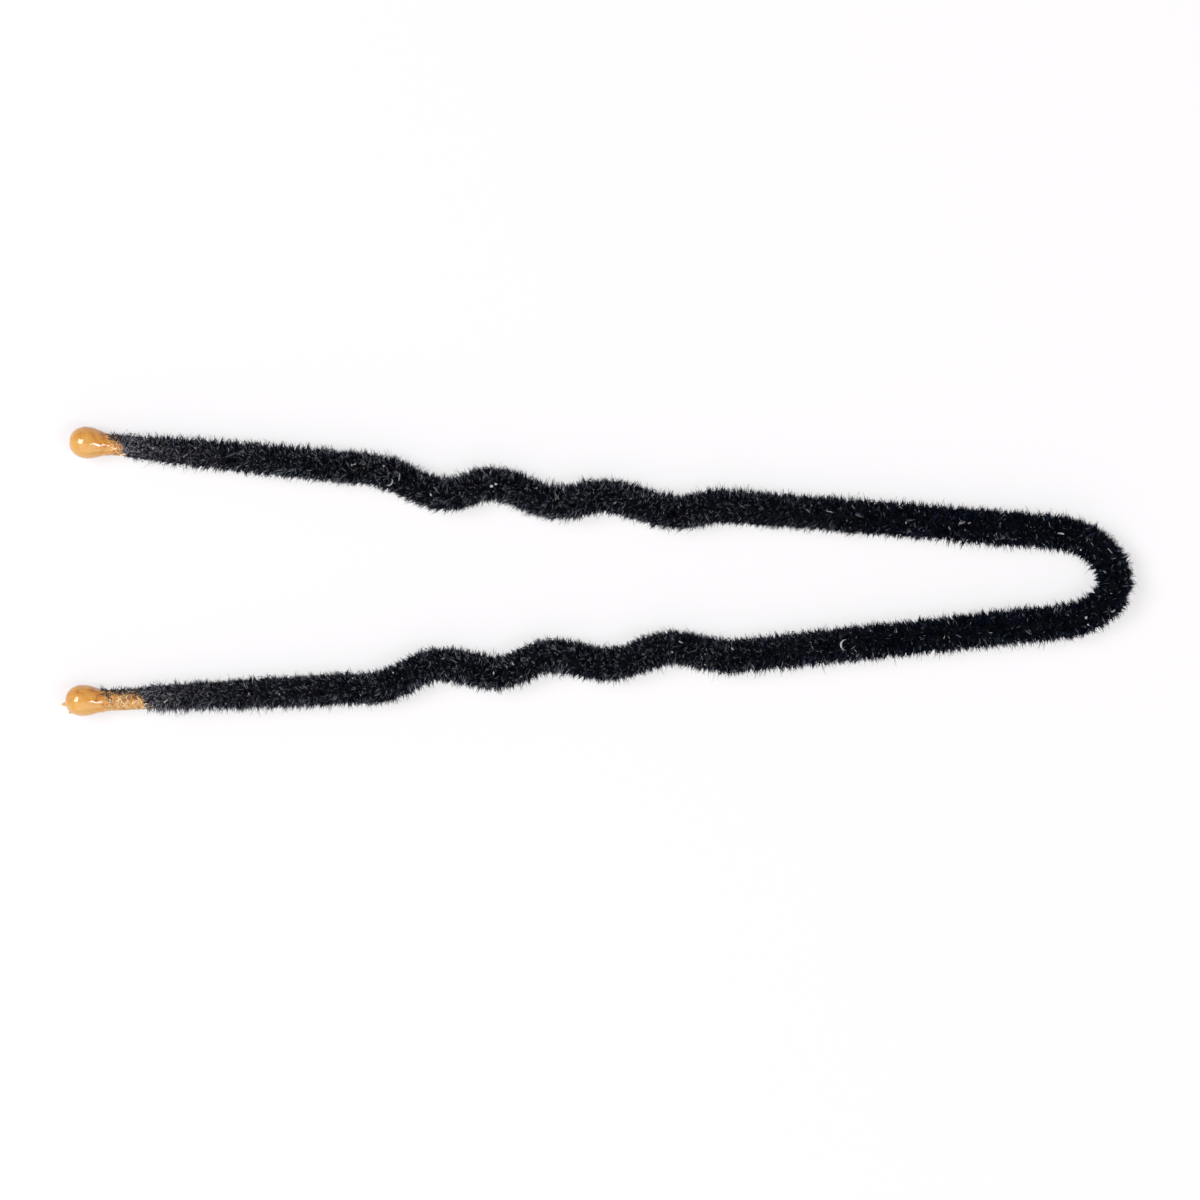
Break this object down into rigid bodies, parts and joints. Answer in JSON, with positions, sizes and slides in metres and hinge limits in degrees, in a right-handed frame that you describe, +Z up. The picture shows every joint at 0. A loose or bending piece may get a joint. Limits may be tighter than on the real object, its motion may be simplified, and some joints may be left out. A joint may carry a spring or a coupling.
{
  "type": "hairpin",
  "caption": "Flocked U-shaped wire hairpin with crimped spring legs and lacquer bead tips, for pinning a bun or an updo.",
  "frame": {"origin": "under the middle of the pin's box, on the surface that it lies on", "axes": "+X along the pin towards its bow, +Y towards the left leg as seen from above with the bow pointing away, +Z up, square to the plane of the U"},
  "size_m": [0.0646, 0.0174, 0.0022],
  "materials": {
    "wire": "drawn steel wire, hidden under its coat",
    "adhesive": "thin matt coat of flocking adhesive",
    "flock": "short black nylon flock, soft and matt",
    "bead": "glossy translucent amber lacquer"
  },
  "bodies": {
    "bow": {"wire_bow": "wire", "adhesive_bow": "adhesive", "flock_bow": "flock"},
    "left_leg": {"wire_left_leg": "wire", "adhesive_left_leg": "adhesive", "flock_left_leg": "flock", "tip_bead_left": "bead"},
    "right_leg": {"wire_right_leg": "wire", "adhesive_right_leg": "adhesive", "flock_right_leg": "flock", "tip_bead_right": "bead"}
  },
  "joints": [
    {"name": "left_leg_spring", "type": "hinge", "parent": "bow", "child": "left_leg", "pos_m": [0.01885, 0.00339, 0.0011], "axis": [0, 0, -1], "range_deg": [-7, 12], "stiffness_Nm_per_rad": 0.38},
    {"name": "right_leg_spring", "type": "hinge", "parent": "bow", "child": "right_leg", "pos_m": [0.01922, -0.00362, 0.0011], "axis": [0, 0, 1], "range_deg": [-7, 12], "stiffness_Nm_per_rad": 0.38}
  ]
}
